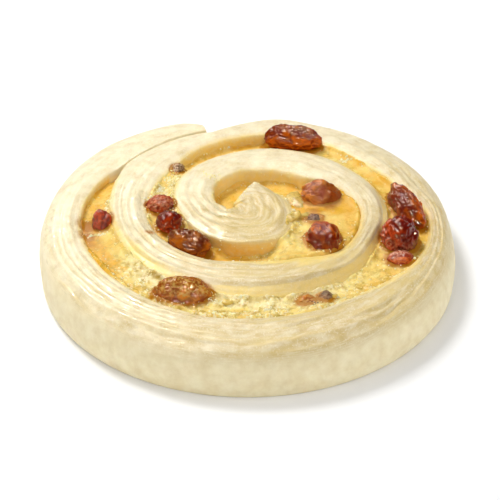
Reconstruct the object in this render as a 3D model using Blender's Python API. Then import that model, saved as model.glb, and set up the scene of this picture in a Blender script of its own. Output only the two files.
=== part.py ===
"""Pain aux raisins, shaped and not yet baked.

One long strip of laminated dough is rolled into a spiral, with a ribbon of pastry cream
between its turns and raisins standing in the cream. The strip starts at a tail on the rim,
runs anticlockwise and inwards for a little over two turns, and folds round a pocket of cream
into a raised core.

Sizes below are in millimetres. Angles are in degrees: a turn angle counts on past 360 as the
strip goes round the swirl's middle, so that a place one turn further in has 360 more.
"""

import math
import random
from bisect import bisect_right

import bmesh
import bpy
from mathutils import Euler, Vector

MM = 0.001

# Whole piece
RIM_RADIUS = 51.0
RIM_HEIGHT = 12.2
MIDDLE_HEIGHT = 16.0
DOME_POWER = 3.2
RIM_MIDDLE = Vector((0.01, 1.23))
SWIRL_MIDDLE = RIM_MIDDLE + Vector((4.3, 4.6))

# Side of the piece
SIDE_SWELL = 1.1
SWELL_TO_RIGHT = 0.5
SWELL_AT_CORNERS = 0.65
SWELL_LEVEL = 0.38
FOOT_INSET = 0.5
FOOT_HEIGHT = 1.3
FOOT_SWELL = 0.75
SWELL_FADE = 12.0
FLAT_DEPTH = 1.0
FLAT_TURN = 355.0
FLAT_SPREAD = 25.0

# Tail of the strip, and the notch in the outline that it leaves
TAIL_START = 112.6
TAIL_FULL = 120.0
TAIL_ROUND = 8.5
TAIL_BULGE = 1.5
BULGE_TURN = 142.0
BULGE_SPREAD = 20.0
NOTCH_DEPTH = 10.5
NOTCH_START = 438.0
NOTCH_LENGTH = 44.0

# Core: the strip folds about this pocket and ends at a peak
POCKET_TURN = 907.0
POCKET_RADIUS = 0.8
STRIP_END = 1191.0
PEAK_HEIGHT = 3.0
PEAK_SPREAD = 8.0
PEAK_POWER = 1.3

# Lofting
STEP = 5
CORE_STEP = 10
TOP_POINTS = 9
LAYER_RIDGE = 0.16
RIDGE_WIDTH = 10.0
RIDGE_WANDER = 0.06
WANDER_BEAT = 19.0
RIDGE_CHANGE = 0.35
CHANGE_BEAT = 13.0
SLOPE_START = 0.15
SLOPE_REACH = 3.4
EDGE_CROWN = 0.5
SHOULDER = 1.0
SHOULDER_DROP = 0.2
INNER_FOOT = 0.7

# Cream
CREAM_START = 157.0
CREAM_END = 899.0
CREAM_GAP = 0.3
CREAM_FOOT = 0.4
CREAM_TOP_POINTS = 4

# Raisins
RAISIN_FIT = 0.35
WRINKLE_DEPTH = 0.2
CRUMPLE_DEPTH = 0.12
GOLDEN_RAISINS = (2, 3, 15)

# Course of the gap: turn angle, distance of its outer and inner wall from the swirl's middle
GAP_COURSE = (
    (112, 39.4, 38.9),
    (150, 41.3, 40.8),
    (166, 44.0, 40.0),
    (190, 45.6, 38.6),
    (225, 45.2, 38.2),
    (255, 44.2, 36.8),
    (285, 41.8, 34.5),
    (310, 40.3, 33.4),
    (338, 41.3, 31.2),
    (358, 40.3, 31.0),
    (378, 34.8, 29.8),
    (405, 32.6, 28.2),
    (440, 34.3, 27.3),
    (475, 32.2, 26.0),
    (510, 28.4, 25.2),
    (550, 29.0, 21.5),
    (600, 26.0, 18.7),
    (620, 23.6, 17.0),
    (645, 22.9, 15.2),
    (674, 24.4, 10.5),
    (713, 23.2, 7.0),
    (752, 18.2, 6.2),
    (775, 15.6, 5.0),
    (815, 15.7, 5.5),
    (831, 16.0, 6.4),
    (856, 15.4, 5.9),
    (880, 13.2, 6.1),
    (897, 11.6, 7.2),
    (907, 9.4, 8.3),
)

# How far the dough's top slopes down to its edges: turn angle, drop at the outer, inner edge
SLOPES = (
    (113, 0.0, 0.0),
    (160, 0.3, 0.4),
    (230, 0.9, 0.5),
    (290, 1.1, 0.5),
    (360, 0.7, 0.5),
    (440, 0.5, 0.4),
    (530, 0.4, 0.5),
    (590, 0.7, 0.4),
    (625, 1.6, 0.3),
    (655, 2.6, 0.4),
    (685, 2.3, 0.7),
    (712, 1.0, 0.6),
    (760, 0.5, 0.4),
    (900, 0.4, 0.3),
    (960, 0.3, 0.0),
)

# Level of the cream: turn angle, depth under the dough at the outer and at the inner wall
CREAM_LEVEL = (
    (157, 3.6, 3.6),
    (188, 3.0, 2.6),
    (208, 1.6, 1.4),
    (250, 1.5, 1.9),
    (290, 2.0, 3.4),
    (312, 2.6, 3.4),
    (335, 2.2, 2.6),
    (378, 2.0, 2.4),
    (412, 1.6, 2.0),
    (445, 4.0, 3.6),
    (488, 4.0, 3.6),
    (510, 1.8, 1.6),
    (550, 2.4, 2.0),
    (590, 4.6, 4.6),
    (612, 5.0, 5.2),
    (628, 1.6, 5.2),
    (650, 0.7, 1.2),
    (705, 0.8, 2.0),
    (745, 1.4, 2.6),
    (775, 4.6, 4.8),
    (880, 5.2, 5.2),
    (899, 4.6, 4.6),
)

# Raisins: place from the rim's middle (x, y, height), length, width, thickness,
# heading, pitch, and how many steps it has round and along
RAISINS = (
    ((-36.0, 0.0, 13.2), (6.4, 5.3, 6.2), 95, 0, (10, 7)),
    ((-15.3, -30.3, 13.7), (14.6, 8.4, 9.0), -3, 2, (14, 9)),
    ((13.9, -31.4, 12.2), (4.8, 3.7, 3.5), 15, 0, (8, 6)),
    ((18.4, -30.0, 12.3), (4.0, 3.7, 4.2), 40, 0, (8, 6)),
    ((37.0, -14.8, 12.2), (7.3, 5.1, 5.5), 10, 0, (10, 7)),
    ((37.2, -7.5, 14.9), (10.0, 9.9, 9.7), 80, 0, (12, 9)),
    ((39.8, 5.3, 14.0), (17.3, 6.8, 7.7), -66, 4, (12, 9)),
    ((11.8, 35.4, 14.8), (16.0, 6.8, 7.9), -13, -4, (14, 9)),
    ((-17.9, 22.1, 13.9), (4.6, 3.1, 3.1), 52, 0, (8, 6)),
    ((-21.7, 5.0, 14.5), (7.7, 6.2, 5.9), 8, 0, (12, 8)),
    ((-19.2, -2.6, 14.8), (6.7, 6.6, 6.4), 60, 0, (12, 8)),
    ((-14.1, -10.9, 14.6), (11.4, 7.3, 7.3), -20, 0, (12, 9)),
    ((18.5, -9.4, 14.9), (9.6, 9.5, 9.2), 120, 0, (12, 9)),
    ((16.3, -0.8, 14.2), (4.6, 3.3, 3.1), 20, 0, (8, 6)),
    ((18.2, 9.2, 14.7), (10.2, 8.4, 7.3), -15, 0, (12, 8)),
)


# Curves of the swirl

def smooth_step(value):
    value = min(max(value, 0.0), 1.0)
    return value * value * (3 - 2 * value)


def read_course(course, column, turn):
    """Smooth value of a column at a turn angle, with no overshoot between the rows."""
    turns = [row[0] for row in course]
    values = [row[column] for row in course]
    turn = min(max(turn, turns[0]), turns[-1])
    low = min(bisect_right(turns, turn), len(turns) - 1) - 1

    def slope_after(row):
        row = min(max(row, 0), len(turns) - 2)
        return (values[row + 1] - values[row]) / (turns[row + 1] - turns[row])

    def slope_at(row):
        before, after = slope_after(row - 1), slope_after(row)
        if before * after <= 0:
            return 0.0
        return 2 * before * after / (before + after)

    span = turns[low + 1] - turns[low]
    part = (turn - turns[low]) / span
    rise = values[low + 1] - values[low]
    start, end = slope_at(low) * span, slope_at(low + 1) * span
    return values[low] + part * (start + part * (3 * rise - 2 * start - end
                                                + part * (start + end - 2 * rise)))


def direction(turn):
    return Vector((math.cos(math.radians(turn)), math.sin(math.radians(turn))))


def from_middle(turn, radius):
    return SWIRL_MIDDLE + radius * direction(turn)


def gap_outside(turn):
    return read_course(GAP_COURSE, 1, turn)


def gap_inside(turn):
    return read_course(GAP_COURSE, 2, turn)


def outline_radius(turn):
    """Distance from the swirl's middle to the rim, with the notch inside the tail."""
    offset = SWIRL_MIDDLE - RIM_MIDDLE
    along = offset.dot(direction(turn))
    circle = -along + math.sqrt(RIM_RADIUS ** 2 - offset.length_squared + along ** 2)
    flat_side = FLAT_DEPTH * math.exp(-((turn - FLAT_TURN) / FLAT_SPREAD) ** 2)
    tail = TAIL_BULGE * math.exp(-((turn - BULGE_TURN) / BULGE_SPREAD) ** 2)
    notch = NOTCH_DEPTH * smooth_step((turn - NOTCH_START) / NOTCH_LENGTH)
    return circle + tail - flat_side - notch


def outer_edge(turn):
    if turn >= TAIL_START + 360:
        return from_middle(turn, gap_inside(turn - 360))
    radius = outline_radius(turn)
    if turn < TAIL_FULL:
        inside = gap_outside(turn)
        left = (TAIL_FULL - turn) / TAIL_ROUND
        radius = inside + (radius - inside) * math.sqrt(1 - left ** 2)
    return from_middle(turn, radius)


def inner_edge(turn):
    if turn <= POCKET_TURN:
        return from_middle(turn, gap_outside(turn))
    pocket = from_middle(POCKET_TURN, gap_outside(POCKET_TURN) - POCKET_RADIUS)
    return pocket + POCKET_RADIUS * (outer_edge(turn) - pocket).normalized()


def dome_height(point):
    spread = (point - RIM_MIDDLE).length / RIM_RADIUS
    return MIDDLE_HEIGHT - (MIDDLE_HEIGHT - RIM_HEIGHT) * spread ** DOME_POWER


def slope_share(distance):
    """Share of an edge's drop that is left at a distance from that edge."""
    return 1 - smooth_step((distance - SLOPE_START) / SLOPE_REACH)


def top_height(point):
    """Height of the dough over a plan point: a low dome, and the core's peak."""
    peak = from_middle(STRIP_END, gap_inside(STRIP_END - 360))
    near = max(0.0, 1 - (point - peak).length / PEAK_SPREAD)
    return dome_height(point) + PEAK_HEIGHT * near ** PEAK_POWER


# Sections of the strip and of the cream, each a ring of points in one upright plane

def dough_ring(turn):
    outer, inner = outer_edge(turn), inner_edge(turn)
    width = (inner - outer).length
    across = (inner - outer) / width
    swell = 0.0
    if turn < TAIL_START + 360:
        swell = SIDE_SWELL + SWELL_TO_RIGHT * direction(turn).x
        swell += SWELL_AT_CORNERS * direction(2 * turn).y ** 2
        swell *= 1 - smooth_step((turn - NOTCH_START + SWELL_FADE) / SWELL_FADE)
    swell *= smooth_step((turn - TAIL_START) / SWELL_FADE)
    outside_height, inside_height = top_height(outer), top_height(inner)
    outer_drop, inner_drop = (read_course(SLOPES, column, turn) for column in (1, 2))
    ring = [
        (FOOT_INSET, 0.0),
        (-FOOT_SWELL * swell, FOOT_HEIGHT),
        (-swell, SWELL_LEVEL * outside_height),
        (-0.5 * swell, 0.8 * outside_height - outer_drop),
        (0.35 * SHOULDER, outside_height - 0.5 * SHOULDER - outer_drop),
    ]
    first, last = SHOULDER, width - SHOULDER
    ridge_depth = LAYER_RIDGE * max(1.0, width / RIDGE_WIDTH)
    for step in range(TOP_POINTS):
        part = step / (TOP_POINTS - 1)
        bend = RIDGE_WANDER * math.sin(math.pi * part) * math.sin(turn / WANDER_BEAT + 2 * part)
        offset = first + (last - first) * (part + bend)
        crown = EDGE_CROWN * (1 - (2 * part - 1) ** 4)
        ridge = -ridge_depth if step % 2 else ridge_depth
        ridge *= 1 - RIDGE_CHANGE * (1 - math.sin(turn / CHANGE_BEAT + 2.6 * step))
        level = top_height(outer + offset * across) - SHOULDER_DROP
        level -= outer_drop * slope_share(offset) + inner_drop * slope_share(width - offset)
        ring.append((offset, level + crown + ridge))
    ring += [
        (width - 0.25 * SHOULDER, inside_height - 0.9 * SHOULDER - inner_drop),
        (width, 0.78 * inside_height - inner_drop),
        (width, INNER_FOOT),
        (width - INNER_FOOT, 0.0),
    ]
    return [(*(outer + offset * across), height) for offset, height in ring]


def cream_ring(turn):
    outer = gap_outside(turn) - CREAM_GAP
    inner = gap_inside(turn) + CREAM_GAP
    ring = [(outer, CREAM_FOOT)]
    for step in range(CREAM_TOP_POINTS):
        part = step / (CREAM_TOP_POINTS - 1)
        radius = outer + (inner - outer) * part
        depth = read_course(CREAM_LEVEL, 1, turn) * (1 - part)
        depth += read_course(CREAM_LEVEL, 2, turn) * part
        ring.append((radius, dome_height(from_middle(turn, radius)) - depth))
    ring.append((inner, CREAM_FOOT))
    return [(*from_middle(turn, radius), height) for radius, height in ring]


# Building

def clear_scene():
    for old in list(bpy.data.objects):
        bpy.data.objects.remove(old)


def plain_material(name, colour, roughness):
    material = bpy.data.materials.new(name)
    material.use_nodes = True
    shader = material.node_tree.nodes["Principled BSDF"]
    shader.inputs["Base Color"].default_value = (*colour, 1.0)
    shader.inputs["Roughness"].default_value = roughness
    shader.inputs["Metallic"].default_value = 0.0
    return material


def new_object(name, bm, material, smooth_angle):
    bmesh.ops.recalc_face_normals(bm, faces=bm.faces)
    mesh = bpy.data.meshes.new(name)
    bm.to_mesh(mesh)
    bm.free()
    mesh.materials.append(material)
    mesh.shade_smooth()
    mesh.set_sharp_from_angle(angle=math.radians(smooth_angle))
    part = bpy.data.objects.new(name, mesh)
    bpy.context.scene.collection.objects.link(part)
    return part


def loft(rings):
    """A closed solid through rings of points: a grid wrapped round and filled at its ends."""
    columns, rows = len(rings[0]), len(rings)
    bm = bmesh.new()
    grid = bmesh.ops.create_grid(bm, x_segments=columns, y_segments=rows - 1, size=0.5)
    places = {}
    for vertex in grid["verts"]:
        column = round((vertex.co.x + 0.5) * columns)
        row = round((vertex.co.y + 0.5) * (rows - 1))
        places[column, row] = vertex
    for (column, row), vertex in places.items():
        vertex.co = Vector(rings[row][column % columns]) * MM
    seam = {places[columns, row]: places[0, row] for row in range(rows)}
    bmesh.ops.weld_verts(bm, targetmap=seam)
    ends = [edge for edge in bm.edges if edge.is_boundary]
    bmesh.ops.holes_fill(bm, edges=ends)
    return bm


def stations(start, end, step):
    """Turn angles from start to end, on whole steps so that neighbouring turns line up."""
    first = math.floor(start / step) * step + step
    inner = [turn for turn in range(first, math.ceil(end), step) if end - turn > 1]
    return [start, *inner, end]


def dough():
    rounding = [1 - math.cos(math.radians(angle)) for angle in (0, 25, 45, 65)]
    tail = [TAIL_START + (TAIL_FULL - TAIL_START) * part for part in rounding]
    turns = tail + stations(TAIL_FULL, POCKET_TURN, STEP)
    turns += stations(POCKET_TURN, STRIP_END, CORE_STEP)[1:]
    material = plain_material("raw_dough", (0.84, 0.76, 0.55), 0.55)
    return new_object("dough", loft([dough_ring(turn) for turn in turns]), material, 40)


def cream():
    turns = stations(CREAM_START, CREAM_END, STEP)
    material = plain_material("pastry_cream", (0.85, 0.55, 0.12), 0.35)
    return new_object("cream", loft([cream_ring(turn) for turn in turns]), material, 40)


def raisin_shape(size, steps, number, wrinkle, crumple, grow):
    """An egg with folds and dents, its length along X; grow pads it on every side."""
    around, along = steps
    dents = random.Random(number)
    bm = bmesh.new()
    bmesh.ops.create_uvsphere(bm, u_segments=around, v_segments=along, radius=1.0)
    for vertex in bm.verts:
        side, end = vertex.co.xy, vertex.co.z
        angle = math.atan2(side.y, side.x) + 0.7 * end * math.sin(number)
        fold = math.sin(3 * angle + number) + 0.8 * math.sin(4 * angle + 2 * number + 3 * end)
        scale = 1 - wrinkle * (0.5 + 0.5 * fold / 1.8) - crumple * dents.random()
        place = Vector((end * (1 - crumple * dents.random()), side.x * scale, side.y * scale))
        half = Vector(size) / 2 + Vector((grow, grow, grow))
        vertex.co = Vector((place.x * half.x, place.y * half.y, place.z * half.z)) * MM
    return bm


def raisin_bm(number, wrinkle, crumple, grow):
    place, size, heading, pitch, steps = RAISINS[number]
    bm = raisin_shape(size, steps, number + 1, wrinkle, crumple, grow)
    turn = Euler((0, math.radians(pitch), math.radians(heading))).to_matrix().to_4x4()
    bmesh.ops.transform(bm, matrix=turn, verts=bm.verts)
    middle = Vector((*(RIM_MIDDLE + Vector(place[:2])), place[2])) * MM
    bmesh.ops.translate(bm, vec=middle, verts=bm.verts)
    return bm


def raisins():
    dark = plain_material("dark_raisin", (0.16, 0.03, 0.015), 0.3)
    golden = plain_material("golden_raisin", (0.32, 0.14, 0.04), 0.35)
    for number in range(len(RAISINS)):
        material = golden if number + 1 in GOLDEN_RAISINS else dark
        name = f"raisin_{number + 1:02d}"
        shape = raisin_bm(number, WRINKLE_DEPTH, CRUMPLE_DEPTH, 0.0)
        new_object(name, shape, material, 30)


def press_raisins_in(*carriers):
    """Cuts each raisin's bed, a little larger than the raisin, out of dough and cream."""
    beds = bpy.data.collections.new("raisin_beds")
    bpy.context.scene.collection.children.link(beds)
    material = plain_material("bed", (0.5, 0.5, 0.5), 0.5)
    for number in range(len(RAISINS)):
        shape = raisin_bm(number, 0.0, 0.0, RAISIN_FIT)
        bed = new_object(f"bed_{number + 1:02d}", shape, material, 60)
        bpy.context.scene.collection.objects.unlink(bed)
        beds.objects.link(bed)
        bed.hide_render = True
        bed.display_type = "WIRE"
    for carrier in carriers:
        cut = carrier.modifiers.new("raisin_beds", "BOOLEAN")
        cut.operation = "DIFFERENCE"
        cut.operand_type = "COLLECTION"
        cut.collection = beds
        cut.solver = "EXACT"


clear_scene()
strip = dough()
filling = cream()
raisins()
press_raisins_in(strip, filling)
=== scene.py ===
"""Looks of a raw pain aux raisins: layered dough, pastry cream, raisins, crumbs and syrup.

Sizes are in millimetres and turn angles in degrees, counted on past 360 as the strip goes
inwards round the swirl's middle. Meshes are written in metres, in the frame of the solids.
"""

import math
import random
from bisect import bisect_right

import bmesh
import bpy
from mathutils import Euler, Matrix, Vector, noise
from mathutils.bvhtree import BVHTree


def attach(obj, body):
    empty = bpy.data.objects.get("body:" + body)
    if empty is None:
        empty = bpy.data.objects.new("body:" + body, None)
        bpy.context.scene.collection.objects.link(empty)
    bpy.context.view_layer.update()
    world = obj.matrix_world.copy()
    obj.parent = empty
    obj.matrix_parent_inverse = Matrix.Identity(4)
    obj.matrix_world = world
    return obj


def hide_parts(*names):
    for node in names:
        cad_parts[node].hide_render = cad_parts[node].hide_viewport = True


MM = 0.001

# Strip and swirl, as in the solids
RIM_RADIUS = 51.0
RIM_HEIGHT = 12.2
MIDDLE_HEIGHT = 16.0
DOME_POWER = 3.2
RIM_MIDDLE = Vector((0.01, 1.23))
SWIRL_MIDDLE = RIM_MIDDLE + Vector((4.3, 4.6))
SIDE_SWELL = 1.1
SWELL_TO_RIGHT = 0.5
SWELL_AT_CORNERS = 0.65
SWELL_LEVEL = 0.38
FOOT_INSET = 0.5
FOOT_HEIGHT = 1.3
FOOT_SWELL = 0.75
SWELL_FADE = 12.0
FLAT_DEPTH = 1.0
FLAT_TURN = 355.0
FLAT_SPREAD = 25.0
TAIL_START = 112.6
TAIL_FULL = 120.0
TAIL_ROUND = 8.5
TAIL_BULGE = 1.5
BULGE_TURN = 142.0
BULGE_SPREAD = 20.0
NOTCH_DEPTH = 10.5
NOTCH_START = 438.0
NOTCH_LENGTH = 44.0
POCKET_TURN = 907.0
POCKET_RADIUS = 0.8
STRIP_END = 1191.0
PEAK_HEIGHT = 3.0
PEAK_SPREAD = 8.0
PEAK_POWER = 1.3
TOP_POINTS = 9
LAYER_RIDGE = 0.16
RIDGE_WIDTH = 10.0
RIDGE_WANDER = 0.06
WANDER_BEAT = 19.0
RIDGE_CHANGE = 0.35
CHANGE_BEAT = 13.0
SLOPE_START = 0.15
SLOPE_REACH = 3.4
EDGE_CROWN = 0.5
SHOULDER = 1.0
SHOULDER_DROP = 0.2
INNER_FOOT = 0.7
INNER_WALL_LEVEL = 0.78
UPPER_SWELL = 0.5
UPPER_LEVEL = 0.8
OUTER_ROUND = (0.35, 0.5)
INNER_ROUND = (0.25, 0.9)

# Ends and edges of the cream, further under the dough than in the solids
CREAM_START = 150.0
CREAM_END = 912.0
CREAM_FOOT = 0.4
CREAM_OVERLAP = 0.9
RIM_DEPTH = 0.35

# Course of the gap: turn angle, distance of its outer and inner wall from the swirl's middle
GAP_COURSE = (
    (112, 39.4, 38.9),
    (150, 41.3, 40.8),
    (166, 44.0, 40.0),
    (190, 45.6, 38.6),
    (225, 45.2, 38.2),
    (255, 44.2, 36.8),
    (285, 41.8, 34.5),
    (310, 40.3, 33.4),
    (338, 41.3, 31.2),
    (358, 40.3, 31.0),
    (378, 34.8, 29.8),
    (405, 32.6, 28.2),
    (440, 34.3, 27.3),
    (475, 32.2, 26.0),
    (510, 28.4, 25.2),
    (550, 29.0, 21.5),
    (600, 26.0, 18.7),
    (620, 23.6, 17.0),
    (645, 22.9, 15.2),
    (674, 24.4, 10.5),
    (713, 23.2, 7.0),
    (752, 18.2, 6.2),
    (775, 15.6, 5.0),
    (815, 15.7, 5.5),
    (831, 16.0, 6.4),
    (856, 15.4, 5.9),
    (880, 13.2, 6.1),
    (897, 11.6, 7.2),
    (907, 9.4, 8.3),
)

# How far the dough's top slopes down to its edges: turn angle, drop at the outer, inner edge
SLOPES = (
    (113, 0.0, 0.0),
    (160, 0.3, 0.4),
    (230, 0.9, 0.5),
    (290, 1.1, 0.5),
    (360, 0.7, 0.5),
    (440, 0.5, 0.4),
    (530, 0.4, 0.5),
    (590, 0.7, 0.4),
    (625, 1.6, 0.3),
    (655, 2.6, 0.7),
    (675, 2.4, 1.5),
    (690, 2.1, 1.3),
    (712, 1.0, 0.6),
    (760, 0.5, 0.4),
    (900, 0.4, 0.3),
    (960, 0.3, 0.0),
)

# Level of the cream: turn angle, depth under the dough at the outer and at the inner wall
CREAM_LEVEL = (
    (157, 3.6, 3.6),
    (188, 3.0, 2.6),
    (208, 1.6, 1.4),
    (250, 1.5, 1.9),
    (290, 2.0, 3.4),
    (312, 2.6, 3.4),
    (335, 2.2, 2.6),
    (378, 2.0, 2.4),
    (412, 1.6, 2.0),
    (445, 4.0, 3.6),
    (488, 4.0, 3.6),
    (510, 1.8, 1.6),
    (550, 2.4, 2.0),
    (590, 4.6, 4.6),
    (612, 5.0, 5.2),
    (628, 1.6, 5.2),
    (650, 0.9, 1.2),
    (675, 2.0, 1.6),
    (692, 1.6, 1.8),
    (710, 0.9, 2.0),
    (745, 1.4, 2.6),
    (775, 4.6, 4.8),
    (880, 5.2, 5.2),
    (899, 4.6, 4.6),
)

# Look of the cream: turn angle, depth of its yellow, how grainy, how wet (each 0 to 1), and
# how pale it is beside the inner wall
CREAM_LOOK = (
    (157, 0.75, 0.1, 0.3, 0.0),
    (180, 0.75, 0.5, 0.4, 0.2),
    (196, 1.0, 0.5, 0.9, 0.3),
    (208, 1.25, 0.6, 1.0, 0.7),
    (225, 0.3, 1.0, 0.6, 0.9),
    (258, 0.2, 1.0, 0.4, 0.5),
    (290, 0.1, 1.0, 0.2, 0.5),
    (312, 0.5, 0.7, 0.3, 0.3),
    (345, 0.6, 0.4, 0.5, 0.0),
    (378, 0.7, 0.2, 0.3, 0.0),
    (412, 0.55, 0.5, 0.5, 0.3),
    (445, 0.75, 0.1, 0.2, 0.0),
    (488, 0.6, 0.3, 0.3, 0.0),
    (520, 0.3, 0.9, 0.4, 0.4),
    (560, 0.4, 0.6, 0.5, 0.2),
    (600, 0.95, 0.1, 0.2, 0.0),
    (625, 0.5, 0.5, 0.2, 0.0),
    (650, 0.35, 0.6, 0.2, 0.2),
    (690, 0.55, 0.6, 0.3, 0.1),
    (708, 0.85, 0.3, 0.6, 0.0),
    (722, 1.2, 0.2, 0.7, 0.0),
    (750, 0.85, 0.2, 0.9, 0.0),
    (790, 0.7, 0.1, 0.4, 0.0),
    (880, 0.8, 0.3, 0.3, 0.0),
    (899, 0.9, 0.6, 0.3, 0.0),
)

# Look of the dough's top: turn angle, how wet, how deep its layers, how buttery and darkened by
# a painted shade towards the front (each 0 to 1), and how many layers show across it
DOUGH_LOOK = (
    (112, 0.1, 0.15, 0.2, 6.0),
    (180, 0.6, 0.45, 0.15, 6.5),
    (205, 1.0, 0.8, 0.1, 6.5),
    (238, 0.9, 1.1, 0.42, 5.5),
    (262, 0.4, 1.6, 0.72, 4.5),
    (300, 0.3, 1.9, 0.92, 4.0),
    (335, 0.3, 1.3, 0.92, 4.5),
    (375, 0.3, 0.6, 0.75, 5.0),
    (410, 0.2, 0.15, 0.35, 6.0),
    (440, 0.2, 0.06, 0.2, 6.0),
    (480, 0.2, 0.08, 0.2, 6.0),
    (530, 0.7, 0.6, 0.2, 6.0),
    (560, 1.0, 1.0, 0.25, 5.5),
    (590, 0.6, 1.5, 0.5, 4.5),
    (620, 0.3, 2.0, 0.87, 3.4),
    (665, 0.3, 2.0, 1.02, 3.2),
    (710, 0.3, 0.7, 0.7, 4.0),
    (760, 0.2, 0.2, 0.3, 5.0),
    (860, 0.3, 0.3, 0.2, 5.0),
    (930, 0.8, 1.0, 0.6, 5.0),
    (1000, 0.5, 1.5, 1.3, 6.0),
    (1100, 0.4, 1.2, 1.3, 5.5),
    (1191, 0.3, 0.8, 0.6, 4.0),
)

# Cream rubbed on the dough beside the gap: turn angle, how yellow the outer and the inner wall
# are (0 to 1), and how far it reaches over the top beyond each
WALL_LOOK = (
    (150, 0.4, 0.1, 0.3, 0.2),
    (166, 0.8, 0.3, 0.5, 0.8),
    (195, 1.0, 0.4, 0.8, 1.4),
    (215, 0.5, 0.25, 0.8, 2.6),
    (250, 0.4, 0.2, 0.6, 1.8),
    (300, 0.5, 0.3, 0.8, 0.6),
    (318, 0.8, 0.4, 2.2, 0.8),
    (340, 0.6, 0.5, 1.0, 0.6),
    (393, 0.5, 0.4, 0.8, 0.4),
    (445, 0.45, 0.5, 0.8, 0.5),
    (480, 0.35, 0.5, 0.8, 0.4),
    (510, 0.4, 0.4, 0.8, 1.2),
    (550, 0.5, 0.6, 0.6, 0.6),
    (597, 0.7, 0.9, 0.6, 0.3),
    (622, 0.9, 0.8, 1.6, 0.3),
    (655, 0.6, 0.5, 4.2, 0.6),
    (690, 0.4, 0.3, 2.0, 0.8),
    (720, 0.35, 0.3, 1.0, 0.5),
    (760, 0.35, 0.4, 0.5, 0.3),
    (830, 0.2, 0.5, 0.5, 0.5),
    (899, 0.6, 1.0, 0.8, 1.4),
)

# Raisins, close to the solids: place from the rim's middle, length, width, thickness,
# heading, pitch; then the name of its skin, its side with a painted glow, its side with a dusting
# and painted sheen, and how much dusting and sheen it has
RAISINS = (
    ((-36.0, 0.0, 13.2), (6.4, 5.3, 6.2), 95, 0, "red", "top", "back", 0.1),
    ((-15.3, -30.3, 13.7), (14.6, 8.4, 9.0), -3, 2, "golden", "front", "top", 1.0),
    ((13.9, -31.4, 12.2), (4.8, 3.7, 3.5), 15, 0, "golden", "left", "top", 1.0),
    ((18.4, -30.0, 12.3), (4.0, 3.7, 4.2), 40, 0, "black", "left", "top", 0.4),
    ((37.0, -14.8, 12.2), (7.3, 5.1, 5.5), 10, 0, "rosy", "front", "back", 1.0),
    ((37.2, -7.5, 14.5), (10.0, 9.9, 9.7), 80, 0, "red", "left", "low", 0.4),
    ((39.8, 5.3, 14.0), (17.3, 6.8, 7.7), -66, 4, "amber", "right", "back", 0.1),
    ((11.8, 35.4, 14.8), (16.0, 6.8, 7.9), -13, -4, "amber", "front", "back", 0.4),
    ((-17.9, 22.1, 13.9), (4.6, 3.1, 3.1), 52, 0, "black", "left", "top", 0.9),
    ((-21.7, 5.0, 14.5), (7.7, 6.2, 5.9), 8, 0, "red", "top", "top", 0.6),
    ((-19.2, -2.6, 14.8), (6.7, 6.6, 6.4), 60, 0, "red", "front", "left", 0.0),
    ((-14.1, -10.9, 14.6), (11.4, 7.3, 7.3), -20, 0, "brown", "front", "back", 0.4),
    ((18.5, -9.8, 14.7), (9.6, 9.5, 9.2), 120, 0, "amber", "back", "left", 0.0),
    ((16.3, -0.8, 14.2), (4.6, 3.3, 3.1), 20, 0, "black", "left", "top", 0.4),
    ((18.2, 9.2, 14.7), (10.2, 8.4, 7.3), -15, 0, "golden", "left", "back", 0.2),
)
SIDES = {
    "left": (-1, 0, 0),
    "right": (1, 0, 0),
    "front": (0, -0.8, -0.6),
    "back": (0, 0.8, 0.6),
    "top": (0, 0, 1),
    "low": (0, -0.4, -0.9),
}

# Spots stained by juice, one also darker as a painted shade: place from the rim's middle, their
# reach, and how strong (0 to 1)
JUICE_SPOTS = (
    ((-39.2, -0.6), 3.0, 1.0),
    ((-39.2, -5.4), 2.4, 0.9),
    ((-38.4, -8.6), 2.0, 0.5),
    ((-35.6, 2.6), 1.2, 0.7),
    ((-37.0, -10.0), 2.6, 0.3),
    ((-23.8, -7.8), 1.2, 0.8),
    ((-13.2, -33.6), 1.6, 0.8),
    ((15.6, -31.0), 1.4, 0.8),
    # Partly juice, partly a painted shade on the wall beside raisin 3
    ((13.6, -30.4), 2.0, 0.45),
    ((34.6, -13.6), 1.8, 0.8),
    ((42.2, -1.0), 1.6, 0.8),
    ((20.4, 4.6), 2.0, 0.7),
    ((16.5, 2.5), 2.4, 0.55),
)
JUICE_LEVEL = 6.0
DOUGH_JUICE_REACH = 0.5
CREAM_JUICE_REACH = 0.6
CREEP = 0.7
NEAR_RAISIN = 13.0
FAR_AWAY = 99.0

# Raisin skins: long wrinkles, and folds given by their size and height, finer on thin raisins
WRINKLE_DEPTH = 0.13
WRINKLE_TWIST = 0.7
DENT_DEPTH = 0.11
DENT_SIZE = 3.6
PATCH_SIZE = 2.6
FOLDS = ((2.7, 0.24), (1.7, -0.26), (1.0, -0.12))
FOLD_MIDDLE = 0.45
FOLD_SEED = 3
FOLD_WIDTH = 0.2
FOLD_STRETCH = 0.6
FOLD_WARP = 0.7
WARP_SIZE = 2.5
FOLD_DEPTH = 1.15
THIN_RAISIN = 8.0
FINEST_FOLDS = 1.6
FINE_MESH_LENGTH = 6.0
FINE_MESH = 6
PLAIN_MESH = 5

# Sides of a raisin's skin: where its painted glow and its dusting with painted sheen start, and how
# patches change them
GLOW_START = 0.38
GLOW_TURN = 0.75
GLOW_PATCHES = 0.9
GLOW_BELOW = 0.3
DUST_AND_SHEEN_START = 0.15
DUST_AND_SHEEN_PATCHES = 0.63

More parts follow.
